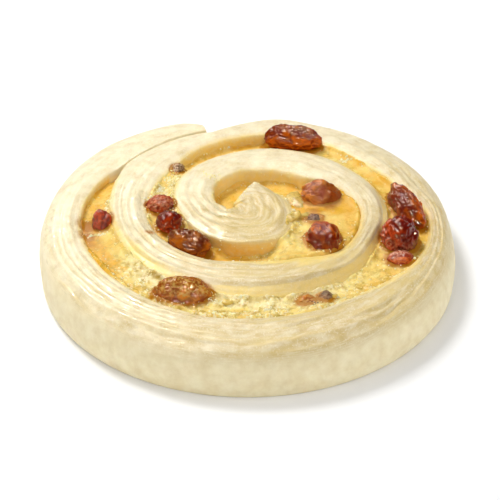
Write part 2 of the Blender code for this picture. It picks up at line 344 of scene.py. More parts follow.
# Heaps of crumbs: place from the rim's middle, spread across and along the view, how many,
# their size, and their kind
HEAPS = (
    ((-36.8, -4.6), (1.8, 0.6), 24, 0.8, "pale"),
    ((-34.9, 8.0), (0.7, 3.0), 60, 0.7, "yellow"),
    ((-7.0, -32.0), (1.6, 1.4), 36, 0.6, "pale"),
    ((5.0, -35.2), (3.2, 0.9), 44, 0.6, "pale"),
    ((-3.2, -16.4), (5.0, 0.5), 90, 0.6, "yellow"),
    ((25.0, 27.6), (1.6, 1.0), 22, 0.8, "pale"),
    ((-21.9, 12.0), (1.3, 2.0), 70, 0.6, "pale"),
    ((-23.5, 8.6), (0.8, 0.8), 16, 0.7, "yellow"),
    ((-18.3, 21.0), (0.8, 0.9), 7, 0.7, "dark"),
    ((-19.3, 17.6), (1.5, 1.0), 34, 0.7, "yellow"),
    ((-14.9, 21.8), (1.4, 0.7), 16, 0.5, "pale"),
    ((-17.4, 22.6), (1.6, 0.9), 18, 0.5, "pale"),
    ((38.6, -15.0), (1.2, 1.0), 18, 0.7, "pale"),
    ((22.0, -29.3), (1.8, 0.9), 30, 0.6, "pale"),
    ((15.8, -32.6), (1.0, 0.6), 4, 0.7, "dark"),
    ((11.0, 10.2), (0.9, 1.6), 16, 0.6, "pale"),
    ((-9.0, 16.5), (1.8, 1.2), 34, 0.6, "yellow"),
    ((-25.5, 7.4), (0.7, 0.8), 10, 0.7, "pale"),
    ((28.0, -27.2), (3.0, 0.7), 40, 0.6, "yellow"),
    ((35.5, -21.5), (1.6, 1.2), 30, 0.6, "yellow"),
)

# Drops of syrup: place from the rim's middle, length, width, thickness, and heading
SYRUP = (
    ((11.4, 11.4), (6.4, 3.8, 1.5), 70),
    ((12.6, 7.6), (5.4, 3.2, 1.2), 110),
    ((11.2, -1.0), (5.6, 2.8, 1.3), 50),
    ((14.0, 0.8), (3.4, 1.6, 1.2), 20),
    ((9.8, -4.0), (1.6, 1.0, 0.8), 70),
    ((-4.6, -33.4), (3.0, 1.8, 1.2), 10),
    ((20.4, -29.6), (2.0, 1.4, 1.0), 30),
    ((-8.6, -14.6), (2.6, 1.4, 1.0), 0),
)

# Fine mesh of the strip: its steps along, the steps between one ring's points, and its layers
STRIP_STEP = 0.72
TAIL_ANGLES = range(0, 75, 9)
LEAST_REACH = 7.0
STRIP_COUNTS = (3, 3, 5, 4, 4) + (7,) * (TOP_POINTS - 1) + (4, 4, 3, 2, 3)
TOP_WEIGHTS = (0, 0, 0, 0.1, 0.6) + (1,) * TOP_POINTS + (0.6, 0, 0, 0)
CLOSED_SEAM = 0.3
SEAM_OPENS = 158.0
SEAM_FADE = 8.0
OUTER_SEAM_FILL = 0.7
INNER_SEAM_FILL = 0.85
LEAST_RIDGE = 0.1
WALL_DEPTH = 0.8
CORE_ALONG = 640.0
FINE_LAYERS = 2.2
COARSE_DEPTH = 0.15
FINE_DEPTH = 0.05
LAYER_DRIFT = 0.02
JUMP_HEIGHT = 0.22
FINE_JUMP = 0.06
GROOVE_WIDTH = 0.2
FINE_GROOVE_WIDTH = 0.27
CORE_SMOOTH = 3.0
GROOVE_BEAT = 13.0
GROOVE_LEVEL = 0.35
GROOVE_CHANGE = 1.3
LAYER_BEAT = 26.0
LAYER_EDGE = 0.35
LAYER_BLEND = 0.3
LESS_WANDER = 0.3
# Tinting of the layer lines: painted shade in the grooves, and tanned higher layers
GROOVE_SHADE = 0.5
FINE_GROOVE_SHADE = 0.2
LEVEL_TAN = 0.5
FINE_LEVEL_TAN = 0.7
STILL_FOOT = 2.0

# Cream rubbed on the dough: how ragged and how soft its edge is, also for each millimetre that
# it reaches, and how it fades upwards on the walls
RAGGED_EDGE = (0.3, 0.2)
SOFT_EDGE = (0.5, 0.4)
WALL_START = 0.35
WALL_RAGGED = 0.4
WALL_FADE = 2.4
YELLOW_START = 0.3
YELLOW_DEPTH = 3.0

# Waves on the dough and the cream: height, length along and across, and seed of each
LAYER_WANDER = ((0.4, 23, 1 / 1.6, 1), (0.25, 9, 1 / 3, 4), (0.12, 4, 1 / 6, 5))
TOP_LUMPS = ((0.28, 9, 4, 7), (0.07, 1.5, 0.8, 8))
SIDE_LUMPS = ((0.3, 14, 5, 40), (0.06, 2.4, 2, 41))
WALL_LUMPS = ((0.3, 3, 4, 42), (0.14, 1.1, 1, 43))
STAIN_EDGE = ((0.8, 3.1, 2, 31), (0.5, 0.8, 1, 32))
CREAM_LUMPS = ((0.35, 5, 5, 51), (0.1, 1.7, 1.7, 52))

# Fine mesh of the cream
CREAM_STEP = 0.3
CREAM_ACROSS = 42
GRAIN_SIZE = 1.3
SMALL_GRAIN = 0.45
GRAIN_HEIGHT = 0.9
GRAIN_PATCH = 3.2
PATCH_CONTRAST = 1.6
GRAIN_POWER = 1.5
BIG_GRAINS = 0.6
SMALL_GRAINS = 0.4
HOLLOW_SHARE = 1.7
HOLLOW_LEVEL = 0.62
HOLLOW_BLEND = 0.3
WALL_RISE = 1.1
WALL_RISE_REACH = 0.5
MOST_RISE = 0.8
PALE_STRENGTH = 1.6
PALE_EDGE = 0.4
PALE_WANDER = 0.3
PALE_BLEND = 0.3
STAIN_WANDER = 0.5

# Crumbs: their width and height as shares of their length, and how far they lift off the ground
CRUMB_FINENESS = 2
CRUMB_WIDTHS = (0.6, 1.0)
CRUMB_HEIGHTS = (0.5, 0.9)
CRUMB_UNEVEN = 0.45
CRUMB_LIFT = 0.15
FULL_TURN = 6.3
ABOVE_ALL = 40.0
LARGEST_CRUMB = 1.0
BARE_START = 4.0
EDGE_SPREAD = 0.5
EDGE_CHANCE = 0.3
GRAINY_CHANCE = 0.6
HEAP_CLOSENESS = 0.6
HEAP_SIZES = (0.5, 1.3)
HEAP_LIFT = 0.2
BATCH = 6000
SYRUP_FINENESS = 4
SYRUP_LIFT = 0.1
SYRUP_SAG = 0.35
SAG_SIZE = 1.1

# Camera, from the photo's view
VIEW_DISTANCE = 500.0
VIEW_HEIGHT = 6.0
VIEW_DOWN = 36.0
SENSOR = 36.0
LENS = 144.1
SHIFT = (0.0052, -0.0094)
NEAREST = 0.01

# Lights: place in metres, size, power, and whether each one lights the matte, the glossy finish
LIGHTS = {
    "key": ((-0.175, 0.2, 0.425), 0.16, 1.8, True, True),
    "overhead": ((0.0, 0.0, 1.0), 1.4, 2.1, True, False),
    "fill": ((0.0, -0.8, 0.45), 0.8, 2.8, True, False),
    "right_fill": ((0.7, -0.1, 0.25), 0.5, 2.0, True, False),
    "left_fill": ((-0.7, -0.2, 0.25), 0.5, 1.25, True, False),
    "glint": ((-0.175, 0.2, 0.425), 0.05, 1.5, False, True),
    "front_glint": ((-0.12, -0.15, 0.46), 0.04, 1.6, False, True),
    "right_glint": ((0.15, 0.1, 0.46), 0.04, 1.4, False, True),
    "low_glint": ((-0.25, -0.4, 0.2), 0.04, 1.2, False, True),
    "low_right_glint": ((0.3, -0.35, 0.25), 0.04, 1.0, False, True),
    "back_glint": ((-0.17, 0.4, 0.24), 0.06, 0.6, False, True),
}
ROOM_BRIGHTNESS = 0.17
FLOOR_REACH = 3.0

# Colours, linear
WHITE_DOUGH_AND_GLINT = (0.93, 0.87, 0.70, 1)
PALE_DOUGH = (0.87, 0.765, 0.52, 1)
# Buttery yellow, darker for the painted shade
BUTTER_AND_SHADE_DOUGH = (0.60, 0.45, 0.185, 1)
SIDE_DOUGH = (0.86, 0.77, 0.52, 1)
LAYER_TAN_AND_GROOVE_SHADE = (0.73, 0.56, 0.22, 1)
PALE_STAIN = (0.92, 0.72, 0.22, 1)
DEEP_STAIN = (0.78, 0.42, 0.03, 1)
PALE_CREAM = (0.90, 0.71, 0.22, 1)
DEEP_CREAM = (0.80, 0.43, 0.02, 1)
SMEAR_CREAM = (0.92, 0.80, 0.44, 1)
# Colour of the painted shade in the cream's hollows
HOLLOW_SHADE_CREAM = (0.46, 0.28, 0.02, 1)
GRAIN_CREAM = (0.95, 0.88, 0.58, 1)
GRAIN_YELLOW = (0.82, 0.60, 0.12, 1)
CRUMB_YELLOW = (0.90, 0.70, 0.18, 1)
JUICE = (0.44, 0.16, 0.003, 1)
PALE_SYRUP = (0.78, 0.58, 0.16, 1)
DEEP_SYRUP = (0.54, 0.36, 0.07, 1)
FLOOR_WHITE = (0.95, 0.95, 0.95, 1)
ROOM_WHITE = (1.0, 1.0, 1.0, 1)

# Skins of the raisins: in their creases, darker there as a painted shade; lit through, a painted
# glow; and their dusting, partly a painted sheen
SKINS = {
    "red": ((0.12, 0.004, 0.001, 1), (0.46, 0.040, 0.002, 1), (0.66, 0.28, 0.13, 1)),
    "rosy": ((0.24, 0.012, 0.002, 1), (0.62, 0.11, 0.01, 1), (0.74, 0.38, 0.22, 1)),
    "amber": ((0.16, 0.010, 0.001, 1), (0.54, 0.10, 0.001, 1), (0.56, 0.22, 0.05, 1)),
    "brown": ((0.12, 0.011, 0.001, 1), (0.42, 0.10, 0.003, 1), (0.50, 0.25, 0.07, 1)),
    "golden": ((0.26, 0.042, 0.001, 1), (0.56, 0.16, 0.004, 1), (0.54, 0.30, 0.06, 1)),
    "black": ((0.08, 0.018, 0.003, 1), (0.30, 0.09, 0.01, 1), (0.60, 0.44, 0.24, 1)),
}


# Curves of the swirl

def smooth_step(value):
    value = min(max(value, 0.0), 1.0)
    return value * value * (3 - 2 * value)


def read_course(course, column, turn):
    """Smooth value of a column at a turn angle, with no overshoot between the rows."""
    turns = [row[0] for row in course]
    values = [row[column] for row in course]
    turn = min(max(turn, turns[0]), turns[-1])
    low = min(bisect_right(turns, turn), len(turns) - 1) - 1

    def slope_after(row):
        row = min(max(row, 0), len(turns) - 2)
        return (values[row + 1] - values[row]) / (turns[row + 1] - turns[row])

    def slope_at(row):
        before, after = slope_after(row - 1), slope_after(row)
        if before * after <= 0:
            return 0.0
        return 2 * before * after / (before + after)

    span = turns[low + 1] - turns[low]
    part = (turn - turns[low]) / span
    rise = values[low + 1] - values[low]
    start, end = slope_at(low) * span, slope_at(low + 1) * span
    return values[low] + part * (start + part * (3 * rise - 2 * start - end
                                                + part * (start + end - 2 * rise)))


def read_row(course, turn):
    """Values of all the columns after the first at a turn angle."""
    return [read_course(course, column, turn) for column in range(1, len(course[0]))]


def direction(turn):
    return Vector((math.cos(math.radians(turn)), math.sin(math.radians(turn))))


def from_middle(turn, radius):
    return SWIRL_MIDDLE + radius * direction(turn)


def gap_outside(turn):
    return read_course(GAP_COURSE, 1, turn)


def gap_inside(turn):
    return read_course(GAP_COURSE, 2, turn)


def outline_radius(turn):
    """Distance from the swirl's middle to the rim, with the notch inside the tail."""
    offset = SWIRL_MIDDLE - RIM_MIDDLE
    along = offset.dot(direction(turn))
    circle = -along + math.sqrt(RIM_RADIUS ** 2 - offset.length_squared + along ** 2)
    flat_side = FLAT_DEPTH * math.exp(-((turn - FLAT_TURN) / FLAT_SPREAD) ** 2)
    tail = TAIL_BULGE * math.exp(-((turn - BULGE_TURN) / BULGE_SPREAD) ** 2)
    notch = NOTCH_DEPTH * smooth_step((turn - NOTCH_START) / NOTCH_LENGTH)
    return circle + tail - flat_side - notch


def seam_closing(turn):
    """Half the width that closes the seam beside the tail, where no cream shows."""
    return CLOSED_SEAM * smooth_step((SEAM_OPENS - turn) / SEAM_FADE)


def outer_edge(turn):
    if turn >= TAIL_START + 360:
        return from_middle(turn, gap_inside(turn - 360) + seam_closing(turn - 360))
    radius = outline_radius(turn)
    if turn < TAIL_FULL:
        inside = gap_outside(turn)
        left = (TAIL_FULL - turn) / TAIL_ROUND
        radius = inside + (radius - inside) * math.sqrt(1 - left ** 2)
    return from_middle(turn, radius)


def inner_edge(turn):
    if turn <= POCKET_TURN:
        return from_middle(turn, gap_outside(turn) - seam_closing(turn))
    pocket = from_middle(POCKET_TURN, gap_outside(POCKET_TURN) - POCKET_RADIUS)
    return pocket + POCKET_RADIUS * (outer_edge(turn) - pocket).normalized()


def dome_height(point):
    spread = (point - RIM_MIDDLE).length / RIM_RADIUS
    return MIDDLE_HEIGHT - (MIDDLE_HEIGHT - RIM_HEIGHT) * spread ** DOME_POWER


def slope_share(distance):
    """Share of an edge's drop that is left at a distance from that edge."""
    return 1 - smooth_step((distance - SLOPE_START) / SLOPE_REACH)


def top_height(point):
    """Height of the dough over a plan point: a low dome, and the core's peak."""
    peak = from_middle(STRIP_END, gap_inside(STRIP_END - 360))
    near = max(0.0, 1 - (point - peak).length / PEAK_SPREAD)
    return dome_height(point) + PEAK_HEIGHT * near ** PEAK_POWER


# Patterns that the meshes are shaped by

def waves(x, y, z):
    """Smooth noise, from about -1 to 1."""
    return noise.noise(Vector((x, y, z)))


def sum_waves(kinds, along, across):
    """Height of several waves laid over each other."""
    return sum(height * waves(along / long, across / wide, seed)
               for height, long, wide, seed in kinds)


def between(before, start, end, after, part):
    """Place on the smooth curve that runs from start to end."""
    bend = 2 * before - 5 * start + 4 * end - after
    twist = 3 * (start - end) + after - before
    return 0.5 * (2 * start + part * (end - before + part * (bend + part * twist)))


def refine(ring, counts):
    """A closed ring of vectors with extra points between its own, on a smooth curve."""
    fine = []
    total = len(ring)
    for place, count in enumerate(counts):
        before, start = ring[place - 1], ring[place]
        end, after = ring[(place + 1) % total], ring[(place + 2) % total]
        for step in range(count):
            fine.append(between(before, start, end, after, step / count))
    return fine


def layer_lines(position, along, seed, narrow):
    """Depth of the groove here, 0 to 1, and the level of the layer, -1 to 1."""
    number = math.floor(position)
    part = position - number
    change = waves(number * 5.7 + seed, along / GROOVE_BEAT, seed)
    strength = min(max(GROOVE_LEVEL + GROOVE_CHANGE * change, 0.0), 1.0)
    groove = strength * math.exp(-((part - 0.5) / narrow) ** 2)
    here, there = (waves(layer * 3.3 + seed, along / LAYER_BEAT, 9.1)
                   for layer in (number, number + 1))
    return groove, here + (there - here) * smooth_step((part - LAYER_EDGE) / LAYER_BLEND)


# Dough

def side_swell(turn):
    """How far the outer side bulges out, nothing where the strip lies inside its outer turn."""
    if turn >= TAIL_START + 360:
        return 0.0
    swell = SIDE_SWELL + SWELL_TO_RIGHT * direction(turn).x
    swell += SWELL_AT_CORNERS * direction(2 * turn).y ** 2
    swell *= 1 - smooth_step((turn - NOTCH_START + SWELL_FADE) / SWELL_FADE)
    return swell * smooth_step((turn - TAIL_START) / SWELL_FADE)


def top_ridges(turn, outer, across, width, drops):
    """Points over the strip's top with its coarse ridges: offset from the outer edge, height."""
    first, last = SHOULDER, width - SHOULDER
    ridge_depth = LAYER_RIDGE * max(1.0, width / RIDGE_WIDTH)
    ridge_depth *= min(1.0, LEAST_RIDGE + read_course(DOUGH_LOOK, 2, turn))
    points = []
    for step in range(TOP_POINTS):
        part = step / (TOP_POINTS - 1)
        bend = RIDGE_WANDER * math.sin(math.pi * part) * math.sin(turn / WANDER_BEAT + 2 * part)
        offset = first + (last - first) * (part + bend)
        crown = EDGE_CROWN * (1 - (2 * part - 1) ** 4)
        ridge = -ridge_depth if step % 2 else ridge_depth
        ridge *= 1 - RIDGE_CHANGE * (1 - math.sin(turn / CHANGE_BEAT + 2.6 * step))
        level = top_height(outer + offset * across) - SHOULDER_DROP
        level -= drops[0] * slope_share(offset) + drops[1] * slope_share(width - offset)
        points.append((offset, level + crown + ridge))
    return points


def strip_ring(turn):
    """Outer edge, direction across, width, and the ring's points: offset, height, weight."""
    outer, inner = outer_edge(turn), inner_edge(turn)
    width = (inner - outer).length
    across = (inner - outer) / width
    swell = side_swell(turn)
    drops = read_row(SLOPES, turn)
    outside, inside = top_height(outer), top_height(inner)
    seam = seam_closing(turn) / CLOSED_SEAM
    outer_seam = seam_closing(turn - 360) / CLOSED_SEAM if turn > TAIL_START + 360 else 0.0
    outer_round = OUTER_ROUND[1] * SHOULDER * (1 - OUTER_SEAM_FILL * outer_seam)
    inner_round = INNER_ROUND[1] * SHOULDER * (1 - INNER_SEAM_FILL * seam)
    ring = [
        (FOOT_INSET, 0.0),
        (-FOOT_SWELL * swell, FOOT_HEIGHT),
        (-swell, SWELL_LEVEL * outside),
        (-UPPER_SWELL * swell, UPPER_LEVEL * outside - drops[0]),
        (OUTER_ROUND[0] * SHOULDER, outside - outer_round - drops[0]),
        *top_ridges(turn, outer, across, width, drops),
        (width - INNER_ROUND[0] * SHOULDER, inside - inner_round - drops[1]),
        (width, INNER_WALL_LEVEL * inside - drops[1]),
        (width, INNER_FOOT),
        (width - INNER_FOOT, 0.0),
    ]
    points = [Vector((*point, weight)) for point, weight in zip(ring, TOP_WEIGHTS)]
    return outer, across, width, points


def strip_turns():
    """Turn angles along the strip, an even distance apart, closer at the tail's end."""
    rounding = [1 - math.cos(math.radians(angle)) for angle in TAIL_ANGLES]
    turns = [TAIL_START + (TAIL_FULL - TAIL_START) * part for part in rounding]
    turn = TAIL_FULL
    while turn < STRIP_END:
        turns.append(turn)
        reach = (0.5 * (outer_edge(turn) + inner_edge(turn)) - SWIRL_MIDDLE).length
        turn += math.degrees(STRIP_STEP / max(reach, LEAST_REACH))
    return turns + [STRIP_END]


def strip_relief(offset, width, along, layered, layers):
    """Height of the layers' relief on the strip's top, how tanned it is with painted shade in its
    grooves, and its drift.
    """
    part = offset / width - 0.5
    wander = sum_waves(LAYER_WANDER, along, part)
    across = part * layers + wander - LAYER_DRIFT * along
    coarse, level = layer_lines(across, along, 3.0, GROOVE_WIDTH)
    fine, fine_level = layer_lines((across - LESS_WANDER * wander) * FINE_LAYERS, along, 17.0,
                                   FINE_GROOVE_WIDTH)
    steps = JUMP_HEIGHT * level + FINE_JUMP * fine_level - COARSE_DEPTH * coarse - FINE_DEPTH * fine
    height = sum_waves(TOP_LUMPS, along, offset) + layered * steps
    if along > CORE_ALONG:
        height *= smooth_step((width - offset) / CORE_SMOOTH)
    # Painted shade in the grooves, and tanned where the layers stand higher
    tint = GROOVE_SHADE * coarse + FINE_GROOVE_SHADE * fine
    tint += max(0.0, FINE_LEVEL_TAN * fine_level + LEVEL_TAN * level)
    return height, min(1.0, layered * tint), wander * width / layers


def rubbed_on_top(from_gap, reach, ragged):
    """Share of cream at a distance from the gap, fading more softly where it reaches further."""
    edge = reach + ragged * (RAGGED_EDGE[0] + RAGGED_EDGE[1] * reach)
    soft = SOFT_EDGE[0] + SOFT_EDGE[1] * reach
    return smooth_step(0.5 + 0.5 * (edge - from_gap) / soft)


def rubbed_on_wall(depth, colour, ragged):
    """Share of cream at a depth under the dough's top."""
    share = smooth_step(WALL_START + (depth + WALL_RAGGED * ragged) / WALL_FADE)
    return share * (0.6 + 0.4 * colour)


def edge_stain(turn, offset, width, height, top, along):
    """How much cream is rubbed on the dough here, and how yellow it is, each 0 to 1."""
    walls = []
    if turn > SEAM_OPENS:
        walls.append((width - offset, min(turn, CREAM_END), 1))
    if turn > SEAM_OPENS + 360:
        walls.append((offset, turn - 360, 2))
    ragged = sum_waves(STAIN_EDGE, along, offset)
    depth = max(0.0, top - height)
    most, yellow = 0.0, 0.0
    for from_gap, place, wall in walls:
        if depth > WALL_DEPTH and from_gap > 0.5 * width:
            continue
        colour, reach = (read_course(WALL_LOOK, column, place) for column in (wall, wall + 2))
        rubbed = rubbed_on_top(from_gap, reach, ragged)
        if depth > WALL_DEPTH:
            rubbed = max(rubbed, rubbed_on_wall(depth, colour, ragged))
        if rubbed > most:
            most = rubbed
            yellow = colour * smooth_step(YELLOW_START + depth / YELLOW_DEPTH)
    return most, yellow


def raisin_outline(row):
    """A raisin's middle and heading in plan, and its size."""
    place, size, heading = row[:3]
    turn = math.radians(heading)
    return RIM_MIDDLE + Vector(place[:2]), Vector((math.cos(turn), math.sin(turn))), size


def from_raisins(point, outlines):
    """Distance in plan to the nearest raisin's outline, less than 0 under it."""
    nearest = FAR_AWAY
    for middle, heading, size in outlines:
        away = Vector(point) - middle
        if away.length > NEAR_RAISIN:
            continue
        long, wide = away.dot(heading), away.x * heading.y - away.y * heading.x
        spread = math.hypot(2 * long / size[0], 2 * wide / size[1])
        nearest = min(nearest, (spread - 1) * away.length / max(spread, 0.01))
    return nearest


def juice_here(point, outlines, reach):
    """How much raisin juice stains a plan point, 0 to 1."""
    beside = math.exp(-max(0.0, from_raisins(point, outlines)) / reach)
    for middle, size, strength in JUICE_SPOTS:
        away = (Vector(point) - RIM_MIDDLE - Vector(middle)).length
        beside = max(beside, strength * math.exp(-(away / size) ** 2))
    return beside


def loft(rings, looks, names):
    """A closed solid through rings of points: a grid wrapped round and filled at its ends.

    Each point's values in looks go into the named attributes.
    """
    columns, rows = len(rings[0]), len(rings)
    bm = bmesh.new()
    layers = [bm.verts.layers.float.new(name) for name in names]
    grid = bmesh.ops.create_grid(bm, x_segments=columns, y_segments=rows - 1, size=0.5)
    places = {}
    for vertex in grid["verts"]:
        column = round((vertex.co.x + 0.5) * columns)
        row = round((vertex.co.y + 0.5) * (rows - 1))
        places[column, row] = vertex
    for (column, row), vertex in places.items():
        vertex.co = Vector(rings[row][column % columns]) * MM
        for layer, value in zip(layers, looks[row][column % columns]):
            vertex[layer] = value
    seam = {places[columns, row]: places[0, row] for row in range(rows)}
    bmesh.ops.weld_verts(bm, targetmap=seam)
    ends = [edge for edge in bm.edges if edge.is_boundary]
    bmesh.ops.holes_fill(bm, edges=ends)
    return bm


def finish_piece(name, bm, material, nodes=()):
    """Turns the mesh into a piece of the part, at the origin, with its finish."""
    bmesh.ops.recalc_face_normals(bm, faces=bm.faces)
    mesh = bpy.data.meshes.new(name)
    bm.to_mesh(mesh)
    bm.free()
    mesh.materials.append(material)
    mesh.shade_smooth()
    piece = bpy.data.objects.new(name, mesh)
    bpy.context.scene.collection.objects.link(piece)
    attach(piece, "root")
    if nodes:
        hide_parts(*nodes)
    return piece


def paced(turns, middle):
    """Each turn angle, with the length of the way up to it along a course of middles."""
    along, last = 0.0, middle(turns[0])
    for turn in turns:
        here = middle(turn)
        along += (here - last).length
        last = here
        yield turn, along


def side_shift(turn, offset, width, height, along):
    """How far lumps push the strip's sides in or out, more on the walls beside the cream."""
    shift = sum_waves(SIDE_LUMPS, along, height)
    if offset > 0.5 * width or turn > SEAM_OPENS + 360:
        shift += sum_waves(WALL_LUMPS, along, height)
    return -shift if offset < 0.5 * width else shift


def dough_strip():
    rings, looks = [], []
    outlines = [raisin_outline(row) for row in RAISINS]

    def middle(turn):
        return 0.5 * (outer_edge(turn) + inner_edge(turn))

    for turn, along in paced(strip_turns(), middle):
        outer, across, width, points = strip_ring(turn)
        top = top_height(middle(turn))
        wet, layered, butter_and_shade, layers = read_row(DOUGH_LOOK, turn)
        ring, look = [], []
        for offset, height, weight in refine(points, STRIP_COUNTS):
            relief, tan_and_groove_shade, drift = strip_relief(offset, width, along, layered, layers)
            shift = side_shift(turn, offset, width, height, along) * (1 - weight)
            height = max(0.0, height + weight * relief)
            shift *= smooth_step(height / STILL_FOOT)
            point = outer + (offset + shift) * across
            ring.append((*point, height))
            stain, yellow = edge_stain(turn, offset, width, height, top, along)
            juice = juice_here(point, outlines, DOUGH_JUICE_REACH) if height > JUICE_LEVEL else 0
            look.append((along * MM, (offset + drift - height * (1 - weight)) * MM,
                         tan_and_groove_shade * weight, stain, yellow, juice, weight, wet, butter_and_shade))
        rings.append(ring)
        looks.append(look)
    return loft(rings, looks, ("along", "across", "tan_and_groove_shade", "stain", "yellow", "juice", "top",
                               "wet", "butter_and_shade"))


# Cream

def cream_turns():
    """Turn angles along the cream, an even distance apart."""
    turns = []
    turn = CREAM_START
    while turn < CREAM_END:
        turns.append(turn)
        reach = 0.5 * (gap_outside(turn) + gap_inside(turn))
        turn += math.degrees(CREAM_STEP / reach)
    return turns + [CREAM_END]


def cream_grain(point, grainy):
    """Height of the cream at a plan point, how high in a grain it is, and how deep in one of the
    hollows, where shade is painted.
    """
    nearest = noise.voronoi(Vector((point.x, point.y, 0)) / GRAIN_SIZE)[0]
    small = noise.voronoi(Vector((point.x, point.y, 7)) / (SMALL_GRAIN * GRAIN_SIZE))[0]
    lump = BIG_GRAINS * (1 - min(1.0, nearest[0])) + SMALL_GRAINS * (1 - min(1.0, small[0]))
    change = PATCH_CONTRAST * waves(point.x / GRAIN_PATCH, point.y / GRAIN_PATCH, 50)
    share = grainy ** GRAIN_POWER * (0.3 + 0.7 * smooth_step(0.5 + change))
    hollow_shade = min(1.0, HOLLOW_SHARE * share) * smooth_step((HOLLOW_LEVEL - lump) / HOLLOW_BLEND)
    smooth = sum_waves(CREAM_LUMPS, *point)
    return smooth + GRAIN_HEIGHT * share * lump, share * lump, hollow_shade


def edge_depth(turn, level):
    """Depth under which the cream's rim stays below the dough, at the outer or inner wall."""
    dough = read_course(SLOPES, 2, turn) if level < 0.5 else read_course(SLOPES, 1, turn + 360)
    return dough + RIM_DEPTH


def wall_creep(part, along, from_wall, depth, juice):
    """How far the cream climbs beside a wall or a raisin, never above the dough."""
    rise = WALL_RISE * (0.7 + waves(along / 3, part * 3, 60))
    rise = min(rise * math.exp(-from_wall / WALL_RISE_REACH), MOST_RISE * depth)
    return min(depth, rise + CREEP * juice)


def cream_ring(turn, along, outlines):
    """Points of one ring round the cream, and the values of its look at each of them."""
    outer_wall, inner_wall = gap_outside(turn), gap_inside(turn)
    outer, inner = outer_wall + CREAM_OVERLAP, inner_wall - CREAM_OVERLAP
    outer_depth, inner_depth = read_row(CREAM_LEVEL, turn)
    yellow, grainy, wet, pale = read_row(CREAM_LOOK, turn)
    foot_look = (yellow, wet, 0.0, 0.0, 0.0)
    ring, look = [(*from_middle(turn, outer), CREAM_FOOT)], [foot_look]
    for step in range(CREAM_ACROSS):
        part = step / (CREAM_ACROSS - 1)
        radius = outer + (inner - outer) * part
        point = from_middle(turn, radius)
        level = min(max((outer_wall - radius) / (outer_wall - inner_wall), 0.0), 1.0)
        depth = outer_depth * (1 - level) + inner_depth * level
        from_wall = max(0.0, min(part, 1 - part) * (outer - inner) - CREAM_OVERLAP)
        wander = Vector((waves(point.x, point.y, 70), waves(point.x, point.y, 71)))
        juice = juice_here(point + STAIN_WANDER * wander, outlines, CREAM_JUICE_REACH)
        grain, lump, hollow_shade = cream_grain(point, grainy)
        height = wall_creep(part, along, from_wall, depth, juice) + grain - depth
        beyond = max(0.0, radius - outer_wall, inner_wall - radius)
        dive = max(0.0, edge_depth(turn, level) + height) * (beyond / CREAM_OVERLAP) ** 2
        ring.append((*point, dome_height(point) + height - dive))
        edge = PALE_EDGE - PALE_WANDER * waves(point.x / 2, point.y / 2, 62)
        lack = PALE_STRENGTH * pale * smooth_step((level - edge) / PALE_BLEND)
        look.append((yellow - lack, wet, lump, hollow_shade, juice))
    ring.append((*from_middle(turn, inner), CREAM_FOOT))
    look.append(foot_look)
    return ring, look


def cream_ribbon():
    outlines = [raisin_outline(row) for row in RAISINS]

    def middle(turn):
        return from_middle(turn, 0.5 * (gap_outside(turn) + gap_inside(turn)))

    made = [cream_ring(turn, along, outlines) for turn, along in paced(cream_turns(), middle)]
    rings, looks = zip(*made)
    return loft(rings, looks, ("yellow", "wet", "lump", "hollow_shade", "juice"))


# Raisins

def skin_fold(spot, seed):
    """Height of the folds and wrinkles at a place on a raisin, and how far out it is, 0 to 1."""
    warp = FOLD_WARP * noise.noise_vector(spot / WARP_SIZE + seed)
    long = Vector((FOLD_STRETCH * spot.x, spot.y, spot.z)) + warp
    height, reach = 0.0, 0.0
    for size, deep in FOLDS:
        crease = 1 - math.exp(-(noise.noise(long / size + seed) / FOLD_WIDTH) ** 2)
        height += deep * (crease - FOLD_MIDDLE)
        reach += abs(deep)
    return height, min(1.0, 0.55 + height / reach)


def raisin_scale(ball, number, spot, seed):
    """Size of a raisin in one direction, with its long wrinkles and its dents."""
    side = ball.yz
    angle = math.atan2(side.y, side.x) + WRINKLE_TWIST * ball.x * math.sin(number)
    wave = math.sin(3 * angle + number) + 0.8 * math.sin(4 * angle + 2 * number + 3 * ball.x)
    wrinkle = WRINKLE_DEPTH * (0.5 + 0.5 * wave / 1.8) * min(1.0, 2 * side.length)
    return 1 - wrinkle + DENT_DEPTH * noise.noise(spot / DENT_SIZE + seed)


